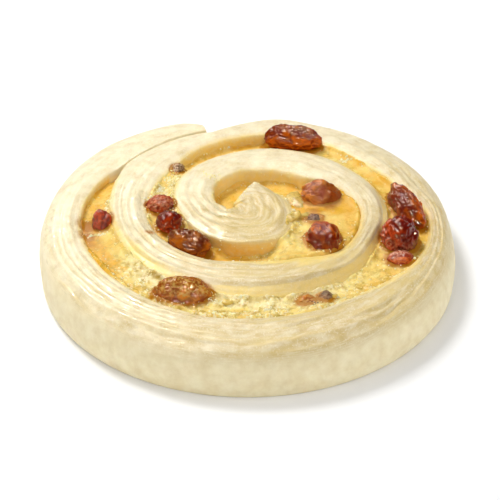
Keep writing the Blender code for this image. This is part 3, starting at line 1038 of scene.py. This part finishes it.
def raisin_flesh(number):
    """A raisin with its folds, and how deep, how much painted glow and how much dusting and painted
    sheen its skin has.
    """
    place, size, heading, pitch, skin, glow_side, dust_and_sheen_side, dust_and_sheen = RAISINS[number - 1]
    turn = Euler((0, math.radians(pitch), math.radians(heading))).to_matrix().to_4x4()
    bm = bmesh.new()
    fold, glow_layer, dust_and_sheen_layer = (bm.verts.layers.float.new(name)
                                     for name in ("fold", "glow_side", "dust_and_sheen_side"))
    fineness = FINE_MESH if max(size) > FINE_MESH_LENGTH else PLAIN_MESH
    bmesh.ops.create_icosphere(bm, subdivisions=fineness, radius=1.0)
    half = Vector(size) / 2
    narrow = min(FINEST_FOLDS, max(1.0, THIN_RAISIN / min(size)))
    seed = Vector((number * 7.7, number * 3.1, 0))
    for vertex in bm.verts:
        ball = vertex.co.normalized()
        spot = ball * half
        scale = raisin_scale(ball, number, spot, seed)
        height, vertex[fold] = skin_fold(spot * narrow, seed)
        vertex.co = (spot * scale + ball * height * FOLD_DEPTH / narrow) * MM
        way = (turn @ ball).normalized()
        drift = noise.noise(spot / PATCH_SIZE + seed)
        # Painted glow: lighter on one side and underneath, as if light shone through the skin
        lit = GLOW_START + GLOW_TURN * way.dot(Vector(SIDES[glow_side])) + GLOW_PATCHES * drift
        vertex[glow_layer] = smooth_step(lit - GLOW_BELOW * min(0.0, way.z))
        # A dusting on one side, partly a painted sheen
        dust_and_sheen_share = DUST_AND_SHEEN_START + way.dot(Vector(SIDES[dust_and_sheen_side])) + DUST_AND_SHEEN_PATCHES * drift
        vertex[dust_and_sheen_layer] = dust_and_sheen * smooth_step(dust_and_sheen_share)
    bmesh.ops.transform(bm, matrix=turn, verts=bm.verts)
    middle = Vector((*(RIM_MIDDLE + Vector(place[:2])), place[2])) * MM
    bmesh.ops.translate(bm, vec=middle, verts=bm.verts)
    return bm, skin


# What lies on the dough and the cream

class Ground:
    """Several meshes together, for what lies on them."""

    def __init__(self, *meshes):
        self.trees = [BVHTree.FromBMesh(mesh) for mesh in meshes]

    def surface_under(self, point):
        """The place and normal of the highest surface under a plan point, or none."""
        start = Vector((*point, ABOVE_ALL)) * MM
        hits = [tree.ray_cast(start, Vector((0, 0, -1))) for tree in self.trees]
        hits = [hit for hit in hits if hit[0] is not None]
        return min(hits, key=lambda hit: hit[3])[:2] if hits else (None, None)


def crumb(bm, place, size, draw):
    """One uneven crumb, flattened a little, at a place in metres."""
    turn = Euler([draw.uniform(0, FULL_TURN) for axis in range(3)]).to_matrix().to_4x4()
    width, height = size * draw.uniform(*CRUMB_WIDTHS), size * draw.uniform(*CRUMB_HEIGHTS)
    shape = Matrix.Diagonal((size, width, height, 1))
    made = bmesh.ops.create_icosphere(
        bm, subdivisions=CRUMB_FINENESS, radius=0.5 * MM,
        matrix=Matrix.Translation(place) @ turn @ shape)
    for vertex in made["verts"]:
        push = noise.noise(vertex.co / (0.5 * size * MM))
        vertex.co += (vertex.co - place) * CRUMB_UNEVEN * push


def pour(batch, whole):
    """Moves one mesh into another, as crumbs are made much faster in small batches."""
    mesh = bpy.data.meshes.new("batch")
    batch.to_mesh(mesh)
    batch.free()
    whole.from_mesh(mesh)
    bpy.data.meshes.remove(mesh)


def scattered(ground, seed, count, chance, across, sizes):
    """Crumbs along the gap.

    They are tried this many times, by the chance at each turn angle, at a distance across the
    gap; sizes are the middle and the spread of the logarithm of their length.
    """
    whole, batch = bmesh.new(), bmesh.new()
    draw = random.Random(seed)
    for attempt in range(count):
        turn = draw.uniform(CREAM_START + BARE_START, CREAM_END)
        if draw.random() > chance(turn):
            continue
        outer, inner = gap_outside(turn), gap_inside(turn)
        point = from_middle(turn, across(draw, outer, inner))
        place, normal = ground.surface_under(point)
        if place is None:
            continue
        size = min(LARGEST_CRUMB, draw.lognormvariate(*sizes))
        crumb(batch, place + normal * CRUMB_LIFT * size * MM, size, draw)
        if len(batch.verts) > BATCH:
            pour(batch, whole)
            batch = bmesh.new()
    pour(batch, whole)
    return whole


def edge_crumbs(ground):
    """Crumbs of cream along both walls of the gap."""
    def chance(turn):
        return EDGE_CHANCE + GRAINY_CHANCE * read_course(CREAM_LOOK, 2, turn)

    def across(draw, outer, inner):
        return draw.choice((outer, inner)) + draw.gauss(0, EDGE_SPREAD)

    return scattered(ground, seed=5, count=1700, chance=chance, across=across, sizes=(-1.0, 0.4))


def heaped(ground, kind, bm, seed):
    """Adds the heaps of one kind of crumb to a mesh."""
    draw = random.Random(seed)
    batch = bmesh.new()
    for middle, reach, count, size, name in HEAPS:
        if name != kind:
            continue
        for number in range(count):
            across, back = (draw.gauss(0, HEAP_CLOSENESS * spread) for spread in reach)
            point = RIM_MIDDLE + Vector(middle) + Vector((across, back))
            place, normal = ground.surface_under(point)
            length = size * draw.uniform(*HEAP_SIZES)
            crumb(batch, place + normal * HEAP_LIFT * length * MM, length, draw)
    pour(batch, bm)
    return bm


def syrup_drops(ground):
    """Drops of clear syrup lying in the gap, and sagging into one another."""
    bm = bmesh.new()
    for number, (middle, size, heading) in enumerate(SYRUP):
        place, normal = ground.surface_under(RIM_MIDDLE + Vector(middle))
        shape = Matrix.Diagonal((*(0.5 * side for side in size), 1))
        turned = Matrix.Rotation(math.radians(heading), 4, "Z")
        lift = Matrix.Translation(place + Vector((0, 0, SYRUP_LIFT * size[2])) * MM)
        made = bmesh.ops.create_icosphere(
            bm, subdivisions=SYRUP_FINENESS, radius=MM, matrix=lift @ turned @ shape)
        for vertex in made["verts"]:
            spot = vertex.co / MM
            sag = noise.noise_vector(spot / SAG_SIZE + Vector((number, 0, 0)))
            vertex.co += SYRUP_SAG * sag * MM
    return bm


def cream_grains(ground):
    """Pale grains lying thickly where the cream is grainy."""
    def chance(turn):
        return smooth_step(1.3 * read_course(CREAM_LOOK, 2, turn) - 0.3)

    def across(draw, outer, inner):
        return inner + (outer - inner) * draw.random()

    return scattered(ground, seed=6, count=3000, chance=chance, across=across,
                     sizes=(-1.05, 0.35))


# Materials

def put(tree, kind, values=(), **settings):
    """Adds a node with its settings; a value that is a socket is linked."""
    node = tree.nodes.new(kind)
    for name, value in settings.items():
        setattr(node, name, value)
    for socket, value in dict(values).items():
        if isinstance(value, bpy.types.NodeSocket):
            tree.links.new(value, node.inputs[socket])
        else:
            node.inputs[socket].default_value = value
    return node


def new_material(name, **constants):
    material = bpy.data.materials.new(name)
    material.use_nodes = True
    shader = material.node_tree.nodes["Principled BSDF"]
    for socket, value in constants.items():
        shader.inputs[socket.replace("_", " ")].default_value = value
    return material, material.node_tree, shader


def mix(tree, factor, first, second):
    """Colour between first and second."""
    values = {0: factor, 6: first, 7: second}
    return put(tree, "ShaderNodeMix", values, data_type="RGBA").outputs[2]


def maths(tree, operation, first, second=0.0, third=0.0):
    values = {0: first, 1: second, 2: third}
    return put(tree, "ShaderNodeMath", values, operation=operation, use_clamp=True).outputs[0]


def times(tree, first, second):
    return maths(tree, "MULTIPLY", first, second)


def maths_free(tree, operation, first, second):
    """Like maths, but with nothing cut off below 0 or above 1."""
    return put(tree, "ShaderNodeMath", {0: first, 1: second}, operation=operation).outputs[0]


def spread(tree, value, span, onto=(0.0, 1.0)):
    """Value with its span stretched onto another and clamped there."""
    values = {0: value, 1: span[0], 2: span[1], 3: onto[0], 4: onto[1]}
    return put(tree, "ShaderNodeMapRange", values).outputs[0]


def place_on_object(tree):
    return put(tree, "ShaderNodeTexCoord").outputs["Object"]


def attribute(tree, name):
    return put(tree, "ShaderNodeAttribute", attribute_name=name).outputs["Fac"]


def grain_place(tree, along, across):
    """Coordinates that follow the strip, with one pattern cell of these many millimetres."""
    stretched = maths_free(tree, "DIVIDE", attribute(tree, "along"), along * MM)
    packed = maths_free(tree, "DIVIDE", attribute(tree, "across"), across * MM)
    return put(tree, "ShaderNodeCombineXYZ", {0: stretched, 1: packed}).outputs[0]


def noise_of(tree, place, size, detail=3.0, rough=0.55):
    """Noise with features of this many millimetres."""
    values = {"Vector": place, "Scale": 1 / (size * MM), "Detail": detail, "Roughness": rough}
    return put(tree, "ShaderNodeTexNoise", values).outputs["Fac"]


def noise_along(tree, along, across, detail=3.0):
    """Noise that follows the strip, with features of these many millimetres."""
    values = {"Vector": grain_place(tree, along, across), "Scale": 1.0, "Detail": detail}
    return put(tree, "ShaderNodeTexNoise", values).outputs["Fac"]


def bump(tree, height, distance, strength=1.0, normal=None):
    values = {"Height": height, "Distance": distance * MM, "Strength": strength}
    if normal:
        values["Normal"] = normal
    return put(tree, "ShaderNodeBump", values).outputs[0]


def link(tree, source, shader, socket):
    tree.links.new(source, shader.inputs[socket])


def dough_colour(tree, place, top):
    """Colour of clean dough: buttery yellow, partly a painted shade towards the front, and floury
    white marbled along the layers, partly painted glints, plainer at the side.
    """
    mottle = spread(tree, noise_of(tree, place, 3.4, 8.0, 0.6), (0.3, 0.7), (-0.5, 0.5))
    calm = spread(tree, attribute(tree, "butter_and_shade"), (0.3, 0.8), (1.0, 0.5))
    # Buttery yellow, with a painted shade darkening the front
    butter_and_shade = maths(tree, "MULTIPLY_ADD", mottle, calm, attribute(tree, "butter_and_shade"))
    colour = mix(tree, butter_and_shade, PALE_DOUGH, BUTTER_AND_SHADE_DOUGH)
    # Whiter streaks along the layers, partly painted glints
    marble_and_glint = spread(tree, noise_along(tree, 3.5, 0.9, 6.0), (0.42, 0.72), (0.0, 0.5))
    marble_and_glint = times(tree, marble_and_glint, spread(tree, butter_and_shade, (0.1, 0.6), (0.25, 1.0)))
    colour = mix(tree, marble_and_glint, colour, WHITE_DOUGH_AND_GLINT)
    # Fine floury specks, partly painted glints
    flour_and_glint = spread(tree, noise_of(tree, place, 0.45, 3.0), (0.56, 0.66), (0.0, 0.4))
    colour = mix(tree, flour_and_glint, colour, WHITE_DOUGH_AND_GLINT)
    mottle = spread(tree, noise_of(tree, place, 3.0, 5.0), (0.35, 0.75), (0.0, 0.5))
    side = mix(tree, mottle, SIDE_DOUGH, BUTTER_AND_SHADE_DOUGH)
    colour = mix(tree, top, side, colour)
    # Tanned layer lines, with painted shade in the grooves
    patch = spread(tree, noise_of(tree, place, 4.0), (0.35, 0.65), (0.28, 0.62))
    line = times(tree, attribute(tree, "tan_and_groove_shade"), patch)
    return mix(tree, line, colour, LAYER_TAN_AND_GROOVE_SHADE)


def dough_material():
    material, tree, shader = new_material(
        "raw_laminated_dough", Subsurface_Weight=0.25, Subsurface_Radius=(1.0, 0.75, 0.42),
        Subsurface_Scale=0.8 * MM, IOR=1.45, Specular_Tint=(1.0, 0.9, 0.72, 1))
    place = place_on_object(tree)
    top = attribute(tree, "top")
    colour = dough_colour(tree, place, top)
    stain = attribute(tree, "stain")
    patch = spread(tree, noise_of(tree, place, 1.1, 4.0), (0.3, 0.65), (0.6, 1.0))
    rubbed = mix(tree, attribute(tree, "yellow"), PALE_STAIN, DEEP_STAIN)
    colour = mix(tree, times(tree, stain, patch), colour, rubbed)
    juice = times(tree, attribute(tree, "juice"), patch)
    juice = spread(tree, juice, (0.15, 0.55), (0.0, 0.95))
    link(tree, mix(tree, juice, colour, JUICE), shader, "Base Color")
    patch = spread(tree, noise_of(tree, place, 8.0, 2.0), (0.3, 0.5))
    gloss = spread(tree, noise_along(tree, 2.5, 0.8, 2.0), (0.4, 0.55))
    wet = times(tree, attribute(tree, "wet"), times(tree, patch, top))
    gloss = times(tree, gloss, wet)
    link(tree, spread(tree, gloss, (0.0, 0.8), (0.55, 0.14)), shader, "Roughness")
    rough = spread(tree, gloss, (0.0, 0.8), (0.75, 0.25))
    fine = bump(tree, noise_of(tree, place, 0.5, 5.0, 0.7), 0.16, rough)
    lines = bump(tree, noise_along(tree, 2.6, 0.45), 0.12, rough, fine)
    link(tree, lines, shader, "Normal")
    return material


def cream_material():
    material, tree, shader = new_material(
        "pastry_cream", Subsurface_Weight=0.3, Subsurface_Radius=(1.0, 0.6, 0.15),
        Subsurface_Scale=0.7 * MM, IOR=1.45, Specular_Tint=(1.0, 0.84, 0.5, 1))
    place = place_on_object(tree)
    patch = spread(tree, noise_of(tree, place, 3.0, 5.0), (0.3, 0.7), (-0.4, 0.4))
    depth = maths_free(tree, "ADD", attribute(tree, "yellow"), patch)
    colour = mix(tree, depth, PALE_CREAM, DEEP_CREAM)
    colour = mix(tree, spread(tree, depth, (0.1, -0.9), (0.0, 0.9)), colour, SMEAR_CREAM)
    # Painted shade darkening the hollows between the grains
    low = spread(tree, noise_of(tree, place, 1.5), (0.3, 0.6), (0.2, 0.9))
    low = times(tree, attribute(tree, "hollow_shade"), low)
    colour = mix(tree, low, colour, HOLLOW_SHADE_CREAM)
    # Paler on the grains' tops: pale grains, partly a painted highlight
    high = spread(tree, attribute(tree, "lump"), (0.25, 0.55))
    grains = spread(tree, noise_of(tree, place, 0.6, 4.0), (0.48, 0.56))
    colour = mix(tree, times(tree, grains, high), colour, GRAIN_CREAM)
    juice = spread(tree, attribute(tree, "juice"), (0.15, 0.6), (0.0, 0.95))
    link(tree, mix(tree, juice, colour, JUICE), shader, "Base Color")
    shine = spread(tree, noise_of(tree, place, 2.2, 3.0), (0.35, 0.58))
    gloss = times(tree, attribute(tree, "wet"), shine)
    gloss = maths(tree, "MAXIMUM", gloss, juice)
    link(tree, spread(tree, gloss, (0.0, 0.8), (0.35, 0.08)), shader, "Roughness")
    link(tree, bump(tree, noise_of(tree, place, 0.5, 5.0, 0.7), 0.3, 0.8), shader, "Normal")
    return material


def raisin_material(name):
    deep, glow, dust_and_sheen = SKINS[name]
    material, tree, shader = new_material(
        f"raisin_skin_{name}", Subsurface_Weight=0.25, Subsurface_Radius=(1.0, 0.25, 0.1),
        Subsurface_Scale=0.4 * MM, IOR=1.4, Specular_Tint=(1.0, 0.7, 0.4, 1),
        Coat_Weight=0.3, Coat_Roughness=0.03, Coat_IOR=1.5)
    place = place_on_object(tree)
    patch = spread(tree, noise_of(tree, place, 1.8, 4.0), (0.35, 0.65), (-0.3, 0.3))
    # Painted glow on the lit side, and painted shade darkening the creases
    lit = maths(tree, "ADD", attribute(tree, "glow_side"), patch)
    crease = spread(tree, attribute(tree, "fold"), (0.3, 0.7), (0.2, 1.0))
    colour = mix(tree, times(tree, lit, crease), deep, glow)
    # Specks of dusting, partly a painted sheen
    speck = spread(tree, noise_of(tree, place, 0.7, 3.0), (0.44, 0.58), (0.1, 1.0))
    dust_and_sheen_veil = times(tree, attribute(tree, "dust_and_sheen_side"), speck)
    link(tree, mix(tree, dust_and_sheen_veil, colour, dust_and_sheen), shader, "Base Color")
    rough = spread(tree, noise_of(tree, place, 1.4, 2.0), (0.35, 0.65), (0.03, 0.08))
    rough = maths(tree, "ADD", rough, times(tree, dust_and_sheen_veil, 0.2))
    link(tree, rough, shader, "Roughness")
    folds = bump(tree, noise_of(tree, place, 1.4, 0.0), 0.13)
    link(tree, bump(tree, noise_of(tree, place, 0.75, 0.0), 0.045, 1.0, folds), shader, "Normal")
    return material


def patchy_material(name, colours, patches, span, grain, **constants):
    """Finish of the smallest pieces: two colours in patches, and a fine unevenness.

    Patches have a size and a detail; the grain has these too, then its depth and its strength.
    """
    material, tree, shader = new_material(name, **constants)
    place = place_on_object(tree)
    tint = spread(tree, noise_of(tree, place, *patches), span)
    link(tree, mix(tree, tint, *colours), shader, "Base Color")
    size, detail, depth, strength = grain
    link(tree, bump(tree, noise_of(tree, place, size, detail), depth, strength), shader, "Normal")
    return material


def crumb_material():
    return patchy_material(
        "cream_crumb", (GRAIN_CREAM, CRUMB_YELLOW), patches=(2.0, 2.0), span=(0.35, 0.65),
        grain=(0.25, 3.0, 0.05, 0.5), Subsurface_Weight=0.3,
        Subsurface_Radius=(1.0, 0.7, 0.3), Subsurface_Scale=0.8 * MM, Roughness=0.45)


def grain_material():
    return patchy_material(
        "cream_grain", (GRAIN_CREAM, GRAIN_YELLOW), patches=(1.2, 3.0), span=(0.4, 0.65),
        grain=(0.3, 2.0, 0.05, 0.5), Subsurface_Weight=0.4,
        Subsurface_Radius=(1.0, 0.8, 0.4), Subsurface_Scale=0.8 * MM, Roughness=0.15, IOR=1.45)


def syrup_material():
    return patchy_material(
        "clear_syrup", (PALE_SYRUP, DEEP_SYRUP), patches=(2.0, 2.0), span=(0.35, 0.65),
        grain=(0.9, 1.0, 0.3, 1.0), Subsurface_Weight=0.5,
        Subsurface_Radius=(1.0, 0.7, 0.2), Subsurface_Scale=1.0 * MM, Roughness=0.08, IOR=1.5)


def floor_material():
    return new_material(
        "pale_floor", Base_Color=FLOOR_WHITE, Roughness=0.9, Specular_IOR_Level=0.1)[0]


# Stage, light and camera

def make_floor():
    bm = bmesh.new()
    bmesh.ops.create_grid(bm, x_segments=1, y_segments=1, size=FLOOR_REACH)
    mesh = bpy.data.meshes.new("floor")
    bm.to_mesh(mesh)
    bm.free()
    mesh.materials.append(floor_material())
    floor = bpy.data.objects.new("floor", mesh)
    bpy.context.scene.collection.objects.link(floor)


def make_light(name, place, size, power, matte, gloss):
    """A square light that faces the part."""
    light = bpy.data.lights.new(name, "AREA")
    light.shape = "SQUARE"
    light.size = size
    light.energy = power
    lamp = bpy.data.objects.new(name, light)
    lamp.location = place
    lamp.rotation_euler = (-Vector(place)).to_track_quat("-Z", "Y").to_euler()
    lamp.visible_diffuse = matte
    lamp.visible_glossy = gloss
    bpy.context.scene.collection.objects.link(lamp)


def make_world(brightness):
    world = bpy.data.worlds.new("soft_room")
    world.use_nodes = True
    sky = world.node_tree.nodes["Background"]
    sky.inputs[0].default_value = ROOM_WHITE
    sky.inputs[1].default_value = brightness
    world.cycles_visibility.glossy = False
    bpy.context.scene.world = world


def make_camera():
    camera = bpy.data.objects.new("camera", bpy.data.cameras.new("camera"))
    down = math.radians(VIEW_DOWN)
    target = Vector((*RIM_MIDDLE, VIEW_HEIGHT))
    camera.location = (target + VIEW_DISTANCE * Vector((0, -math.cos(down), math.sin(down)))) * MM
    camera.rotation_euler = (math.radians(90 - VIEW_DOWN), 0, 0)
    camera.data.sensor_width = SENSOR
    camera.data.lens = LENS
    camera.data.shift_x, camera.data.shift_y = SHIFT
    camera.data.clip_start = NEAREST
    bpy.context.scene.collection.objects.link(camera)
    bpy.context.scene.camera = camera
    bpy.context.scene.view_settings.view_transform = "Standard"


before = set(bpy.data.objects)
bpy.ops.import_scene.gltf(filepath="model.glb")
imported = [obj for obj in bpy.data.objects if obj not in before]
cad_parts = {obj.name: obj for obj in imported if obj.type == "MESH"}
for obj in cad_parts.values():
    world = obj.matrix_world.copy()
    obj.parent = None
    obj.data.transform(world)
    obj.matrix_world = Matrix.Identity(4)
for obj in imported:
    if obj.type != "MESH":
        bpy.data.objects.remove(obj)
noise.seed_set(FOLD_SEED)
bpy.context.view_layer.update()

make_camera()
make_floor()
make_world(ROOM_BRIGHTNESS)
for name, light in LIGHTS.items():
    make_light(name, *light)

strip = dough_strip()
cream = cream_ribbon()
ground = Ground(strip, cream)
crumbs = heaped(ground, "yellow", edge_crumbs(ground), seed=7)
grains = heaped(ground, "pale", cream_grains(ground), seed=8)
specks = heaped(ground, "dark", bmesh.new(), seed=9)
syrup = syrup_drops(ground)
finish_piece("dough_strip", strip, dough_material(), ["dough"])
finish_piece("cream_ribbon", cream, cream_material(), ["cream"])
finish_piece("cream_crumbs", crumbs, crumb_material())
finish_piece("cream_grains", grains, grain_material())
finish_piece("syrup_drops", syrup, syrup_material())
skins = {name: raisin_material(name) for name in SKINS}
finish_piece("raisin_specks", specks, skins["black"])
for number in range(1, len(RAISINS) + 1):
    flesh, skin = raisin_flesh(number)
    finish_piece(f"raisin_flesh_{number:02d}", flesh, skins[skin], [f"raisin_{number:02d}"])
